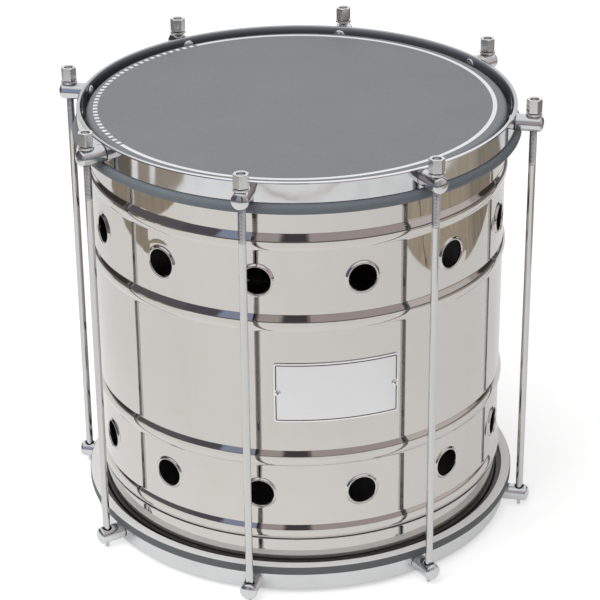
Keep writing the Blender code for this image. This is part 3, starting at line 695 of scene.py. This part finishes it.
def satin_plate(tree):
    """Brushed plate with straight lines along it, a bright border and a thin dark line with round corners,
    open at the rivets."""
    place = tree.place()
    x, y, z = tree.axes(place)
    across = turn_from_front(x, y) * SHELL_RADIUS
    brushed = tree.noise(tree.vector(across * 60.0, (z - BADGE_Z) * 5200.0, 0.0), 1.0, 3.0, 0.6)
    margin = LINE_INSET + LINE_CORNER
    off_middle = (z - BADGE_Z).math("ABSOLUTE")
    wide = (across.math("ABSOLUTE") - (BADGE_WIDTH / 2 - margin)).math("MAXIMUM", 0.0)
    tall = (off_middle - (BADGE_HEIGHT / 2 - margin)).math("MAXIMUM", 0.0)
    from_line = length(wide, tall) - LINE_CORNER
    line = from_line.near(0.0, LINE_HALF, 0.00016) * off_middle.span(0.0021, 0.0025)
    tone = tree.blend(brushed, colour(0.81, 0.81, 0.82), colour(0.91, 0.91, 0.92))
    tone = tree.blend(from_line.span(0.0002, 0.0004), tone, colour(0.99, 0.99, 0.99))
    tone = tree.blend(line, tone, colour(0.06, 0.06, 0.065))
    return {"Base Color": tone, "Roughness": 0.30 + brushed * 0.16 + line * 0.15,
            "Metallic": 1.0 - line * 0.9, "Normal": tree.bump(brushed, 0.000008, 0.6)}


def hollow_rivet(tree):
    """Bright rivet with a dark spot in the middle of its head, painted shade for a hollow that its dome
    lacks.
    """
    x, y, z = tree.axes(tree.place())
    across = (turn_from_front(x, y) * SHELL_RADIUS).math("ABSOLUTE") - RIVET_REACH
    # Painted shade: a dark spot for the hollow in the rivet's head.
    hollow = 1.0 - length(across, z - BADGE_Z).span(0.0005, 0.0008)
    return {"Base Color": tree.blend(hollow, colour(0.90, 0.90, 0.90), colour(0.03, 0.03, 0.03)),
            "Roughness": 0.16 + hollow * 0.5, "Metallic": 1.0 - hollow * 0.9}


# Floor, light and camera. The camera's angles are degrees and its lens is in millimetres. Places on the floor
# are metres from the drum's axis, to the camera's right and towards it, and a stretch is (left, right, back,
# front).

CAMERA_AZIMUTH = -10.0
CAMERA_PLACE = (-0.2654, -1.5049, 0.9040)
CAMERA_YAW, CAMERA_PITCH, CAMERA_ROLL = 0.220, 26.248, -0.457
CAMERA_LENS, CAMERA_SENSOR, CAMERA_SHIFT = 134.32, 36.0, (-0.01114, 0.01668)

LAMP_AIM = (0, 0, 0.2)
FLOOR_SIZE, TABLE_RADIUS, ROOM_START, ROOM_END = 12.0, 1.0, 2.0, 2.4
BROWN_RIGHT, BROWN_LEFT = (0.606, 2.0, -0.43, 0.46), (-2.0, -0.735, 0.05, 0.53)
BROWN_BACK, FRONT_EDGE = (-2.0, -0.664, -0.30, 0.10), (-0.6, 0.6, 0.874, 0.888)
# Painted shade on the mirrored wood: one corner is dimmer and another dark.
DIM_CORNER, SHADED_CORNER = (0.5, 2.0, -0.46, -0.10), (-2.0, -0.82, -0.30, 0.04)
JOINT = (-0.247, -0.237, 0.58, 0.74)
# Painted light: a glow round the drum's foot that only reflections see, lifting the drum's shadow there.
FOOT_START, FOOT_END, FOOT_GLOW = 0.17, 0.45, 0.11


def bearings(tree, x, y):
    """A place or direction to the camera's right and towards the camera, and its bearing from there in
    degrees."""
    a = math.radians(CAMERA_AZIMUTH)
    right = x * math.cos(a) + y * math.sin(a)
    front = x * math.sin(a) - y * math.cos(a)
    return right, front, right.math("ARCTAN2", front) * (180 / math.pi)


def box(across, along, left, right, back, front, soft=0.003):
    """1 inside a rectangle and 0 outside it, with soft sides."""
    return (across.span(left - soft, left + soft) * (1.0 - across.span(right - soft, right + soft))
            * along.span(back - soft, back + soft) * (1.0 - along.span(front - soft, front + soft)))


def rays(tree):
    """Masks of the rays that come from the camera, from a glossy surface and through glass."""
    outputs = tree.add("LightPath").socket.node.outputs
    return [Value(tree, outputs[f"Is {kind} Ray"]) for kind in ("Camera", "Glossy", "Transmission")]


def room_tones(tree, bearing):
    """Mirror image of the room at eye level by bearing: mauve-grey walls, a pale side to the right, a bluish
    one to the left, dark corners, dark behind the camera and a white backdrop behind the drum. A strip is
    (middle, half width, tone)."""
    room = colour(0.44, 0.385, 0.385)
    strips = ((80, 20, (0.64, 0.58, 0.58)), (122, 11, (0.05, 0.045, 0.04)),
              (-2, 5.5, (0.075, 0.065, 0.075)), (-33, 9, (0.29, 0.34, 0.47)),
              (-53, 9, (0.10, 0.10, 0.12)), (-85, 22, (0.13, 0.12, 0.14)),
              (-115.5, 12.5, (0.05, 0.045, 0.04)), (180, 47, (0.95, 0.95, 0.95)),
              (-180, 47, (0.95, 0.95, 0.95)))
    for middle, half, tone in strips:
        room = tree.blend(bearing.near(middle, half, 3.5), room, colour(*tone))
    return room


def past_table(right, front):
    """Mask of the brown past the mirrored table: at its right with a slanting front corner, at its left, and
    as a thin line along its front edge."""
    across = right + front.math("MAXIMUM", 0.0) * 0.07
    corner = (front + right * 1.5).span(1.50, 1.54)
    brown = (box(across, front, *BROWN_RIGHT) * (1.0 - corner) + box(right, front, *BROWN_LEFT)
             + box(right - front * 0.12, front, *BROWN_BACK) + box(right, front, *FRONT_EDGE) * 0.8)
    return brown.math("MINIMUM", 1.0)


def wood_tones(tree, right, front, bearing):
    """Brown with a grain along it, dimmed by painted shade on the left and in a corner, darkened by painted
    shade in another corner, dark in a joint, and with two narrow white bands on the left that are painted
    highlights."""
    grain = tree.noise(tree.vector(right * 4.0, front * 45.0, 0.0), 1.0, 3.0, 0.6)
    # Painted shade: dimmer on the left and in a corner.
    dim = box(right, front, *DIM_CORNER, 0.06) + 1.0 - right.span(-0.1, 0.1)
    # Painted shade in a corner, together with a real dark joint.
    shaded_corner_and_joint = box(right, front, *SHADED_CORNER, 0.02) + box(front - right * 0.85, right, *JOINT) * 0.8
    # Painted highlights: two narrow white bands of light on the left.
    painted_highlights = bearing.near(-84.6, 1.6, 0.8) + bearing.near(-73.0, 1.2, 0.8)
    painted_highlights = painted_highlights * (1.0 - right.span(-0.82, -0.80))
    wood = tree.blend(grain.span(0.30, 0.75), colour(0.64, 0.56, 0.45), colour(0.50, 0.43, 0.34))
    wood = tree.blend(dim.math("MINIMUM", 1.0) * 0.32, wood, colour(0.0, 0.0, 0.0))
    wood = tree.blend(shaded_corner_and_joint.math("MINIMUM", 1.0), wood, colour(0.18, 0.155, 0.125))
    return tree.blend(painted_highlights.math("MINIMUM", 1.0), wood, colour(1.0, 1.0, 1.0))


def floor_material():
    """Pale, with a soft glow that only the camera and reflections see. To reflections it is a white table,
    with painted light round the drum's foot that lifts its shadow, brown past its sides, and beyond a radius
    a dark floor and the room."""
    material = bpy.data.materials.new("pale floor")
    material.use_nodes = True
    tree = Tree(material.node_tree)
    x, y, _ = tree.axes(tree.place())
    right, front, bearing = bearings(tree, x, y)
    seen, mirrored, through = rays(tree)
    reach = length(x, y)
    far = mirrored * reach.span(TABLE_RADIUS - 0.02, TABLE_RADIUS + 0.02)
    brown = mirrored * past_table(right, front)
    tone = tree.blend(brown, colour(0.80, 0.80, 0.80), wood_tones(tree, right, front, bearing))
    matt = tree.add("BsdfDiffuse", values=[tree.blend(far, tone, colour(0.0, 0.0, 0.0))])
    # Painted light round the drum's foot, seen in reflections.
    foot = mirrored * (1.0 - reach.span(FOOT_START, FOOT_END)) * FOOT_GLOW
    shown = (seen + mirrored + through).math("MINIMUM", 1.0)
    near = (shown * 0.55 - mirrored * 0.35 + foot) * (1.0 - brown) * (1.0 - far)
    edge = colour(0.16, 0.145, 0.15)
    room = tree.blend(reach.span(ROOM_START, ROOM_END), edge, room_tones(tree, bearing))
    glow = tree.blend(far, colour(1.0, 1.0, 1.0), room)
    glow = tree.add("Emission", values=[glow, near + far])
    tree.add("OutputMaterial", values=[tree.add("AddShader", values=[matt, glow])])
    return material


def stage_floor():
    """Large square floor under the drum."""
    corners = [(-FLOOR_SIZE, -FLOOR_SIZE, 0), (FLOOR_SIZE, -FLOOR_SIZE, 0), (FLOOR_SIZE, FLOOR_SIZE, 0),
               (-FLOOR_SIZE, FLOOR_SIZE, 0)]
    mesh = bpy.data.meshes.new("floor")
    mesh.from_pydata(corners, [], [(0, 1, 2, 3)])
    mesh.materials.append(floor_material())
    floor = bpy.data.objects.new("floor", mesh)
    bpy.context.scene.collection.objects.link(floor)


def room_light():
    """Soft light all round, weaker from the right. The camera sees white; reflections see the room under a
    bright ceiling."""
    world = bpy.data.worlds.new("soft studio")
    bpy.context.scene.world = world
    world.use_nodes = True
    tree = Tree(world.node_tree)
    x, y, z = tree.axes(tree.add("TexCoord", output=0))
    right, _, bearing = bearings(tree, x, y)
    room = tree.blend(z.span(0.5, 0.8), room_tones(tree, bearing), colour(0.90, 0.90, 0.92))
    seen, mirrored, _ = rays(tree)
    weaker = right.span(-1.0, 1.0, False) * (1.0 - seen)
    side = tree.blend(weaker, colour(1.1, 1.1, 1.1), colour(0.5, 0.5, 0.5))
    tone = tree.blend(mirrored, side, room)
    strength = 0.55 + (seen + mirrored) * 0.45
    tree.add("OutputWorld", values=[tree.add("Background", values=[tone, strength])])


def soft_lamp(name, azimuth, distance, height, size, power):
    """Square soft lamp aimed at the middle of the drum, without a mirror image of its own."""
    data = bpy.data.lights.new(name, "AREA")
    data.shape, data.size, data.energy = "SQUARE", size, power
    lamp = bpy.data.objects.new(name, data)
    a = math.radians(azimuth)
    lamp.location = (distance * math.sin(a), -distance * math.cos(a), height)
    towards = Vector(LAMP_AIM) - lamp.location
    lamp.rotation_euler = towards.to_track_quat("-Z", "Y").to_euler()
    lamp.visible_glossy = False
    bpy.context.scene.collection.objects.link(lamp)


def camera_view():
    """The photograph's viewpoint: 1.53 m out and 0.90 m up, looking down at 26 degrees."""
    yaw, pitch, roll = (math.radians(angle) for angle in (CAMERA_YAW, CAMERA_PITCH, CAMERA_ROLL))
    ahead = np.array([math.sin(yaw) * math.cos(pitch), math.cos(yaw) * math.cos(pitch), -math.sin(pitch)])
    right = np.array([math.cos(yaw), -math.sin(yaw), 0.0])
    up = np.cross(right, ahead)
    rolled_right = right * math.cos(roll) + up * math.sin(roll)
    rolled_up = up * math.cos(roll) - right * math.sin(roll)
    turn = Matrix.Rotation(math.radians(CAMERA_AZIMUTH), 3, "Z")
    place = (turn @ Matrix(np.stack([rolled_right, rolled_up, -ahead], axis=1).tolist())).to_4x4()
    place.translation = CAMERA_PLACE
    data = bpy.data.cameras.new("camera")
    data.lens, data.sensor_width = CAMERA_LENS, CAMERA_SENSOR
    data.shift_x, data.shift_y = CAMERA_SHIFT
    camera = bpy.data.objects.new("camera", data)
    camera.matrix_world = place
    bpy.context.scene.collection.objects.link(camera)
    bpy.context.scene.camera = camera


# The drum

def dress_drum(finishes):
    """Everything that stays with the shell."""
    piece("shell_fine", shell_surfaces(), "drum", "shell", finishes["sheet"], sharp=50)
    piece("badge_plate_fine", badge_surfaces(), "drum", "badge_plate", finishes["plate"])
    reach = math.degrees(RIVET_REACH / SHELL_RADIUS)
    for side, azimuth in (("left", -reach), ("right", reach)):
        placed = set_at(rivet_surfaces(), azimuth, height=BADGE_Z, radial=True)
        piece(f"badge_rivet_{side}_fine", placed, "drum", f"badge_rivet_{side}", finishes["rivet"])
    reach = BATTER_RING_RADIUS - BATTER_RING_SECTION - GAP
    upper = head_surfaces(SHELL_TOP, 1, BATTER_FILM, BATTER_RING_Z, reach)
    piece("batter_head_fine", upper, "drum", "batter_head", finishes["film"])
    piece("batter_ring_fine", batter_ring_surfaces(), "drum", "batter_ring", finishes["wrapped"])
    (inner, _), (outer, _) = RESONANT_RING
    reach = inner + (outer - inner) / 4
    lower = head_surfaces(SHELL_BOTTOM, -1, RESONANT_FILM, RESONANT_FLANGE_Z, reach)
    piece("resonant_head_fine", lower, "drum", "resonant_head", finishes["dark film"])
    piece("resonant_ring_fine", resonant_ring_surfaces(), "drum", "resonant_ring", finishes["aluminium"])
    hoop = hoop_surfaces(*BOTTOM_HOOP, -1)
    piece("bottom_hoop_fine", hoop, "drum", "bottom_hoop", finishes["hoop"])


def dress_tension_set(finishes):
    """Top hoop and, at each azimuth, the rod with its lugs, screw, washer and nut."""
    hoop = hoop_surfaces(*TOP_HOOP, 1)
    piece("top_hoop_fine", hoop, "top_hoop_set", "top_hoop", finishes["hoop"])
    rod, nut, washer = rod_surfaces(), nut_surfaces(), washer_surfaces()
    top_lug, bottom_lug, screw = top_lug_surfaces(), bottom_lug_surfaces(), screw_surfaces(SCREW_END)
    for number, azimuth in enumerate(ROD_AZIMUTHS, start=1):
        for kind, surfaces, body, place, look in (
                ("bottom_lug", bottom_lug, "drum", {"height": BOTTOM_LUG_Z, "radial": True}, "lug"),
                ("tension_rod", rod, "drum", {"radius": ROD_CIRCLE}, "rod"),
                ("top_lug", top_lug, "top_hoop_set", {"height": TOP_LUG_Z, "radial": True}, "lug"),
                ("lug_screw", screw, "top_hoop_set", {"height": TOP_LUG_Z, "radial": True}, "lug"),
                ("washer", washer, "top_hoop_set", {"radius": ROD_CIRCLE, "height": WASHER_Z}, "nut"),
                ("tension_nut", nut, f"nut_{number}", {"radius": ROD_CIRCLE, "height": NUT_Z}, "nut")):
            node = f"{kind}_{number}"
            piece(f"{node}_fine", set_at(surfaces, azimuth, **place), body, node, finishes[look])


finishes = {
    "sheet": finish("polished steel sheet", polished_sheet, metallic=1.0),
    "hoop": finish("chromed band", lambda tree: chrome(tree, HOOP_FACES[0] + 0.0002)),
    "lug": finish("plated bar", lambda tree: chrome(tree, dull=0.11), metallic=1.0),
    "nut": finish("satin plating", satin_steel, metallic=1.0),
    "rod": finish("threaded steel", threaded_steel, metallic=1.0),
    "film": finish("grey film", grey_film),
    "wrapped": finish("film wrapped on its ring", lambda tree: grey_film(tree, True)),
    "aluminium": finish("satin aluminium", satin_aluminium),
    "dark film": finish("smoke film", dark_film),
    "plate": finish("brushed plate", satin_plate),
    "rivet": finish("hollow rivet", hollow_rivet),
}

bpy.context.scene.view_settings.view_transform = "Standard"
dress_drum(finishes)
dress_tension_set(finishes)
stage_floor()
room_light()
soft_lamp("overhead softbox", -60, 0.9, 2.2, 2.4, 32)
camera_view()
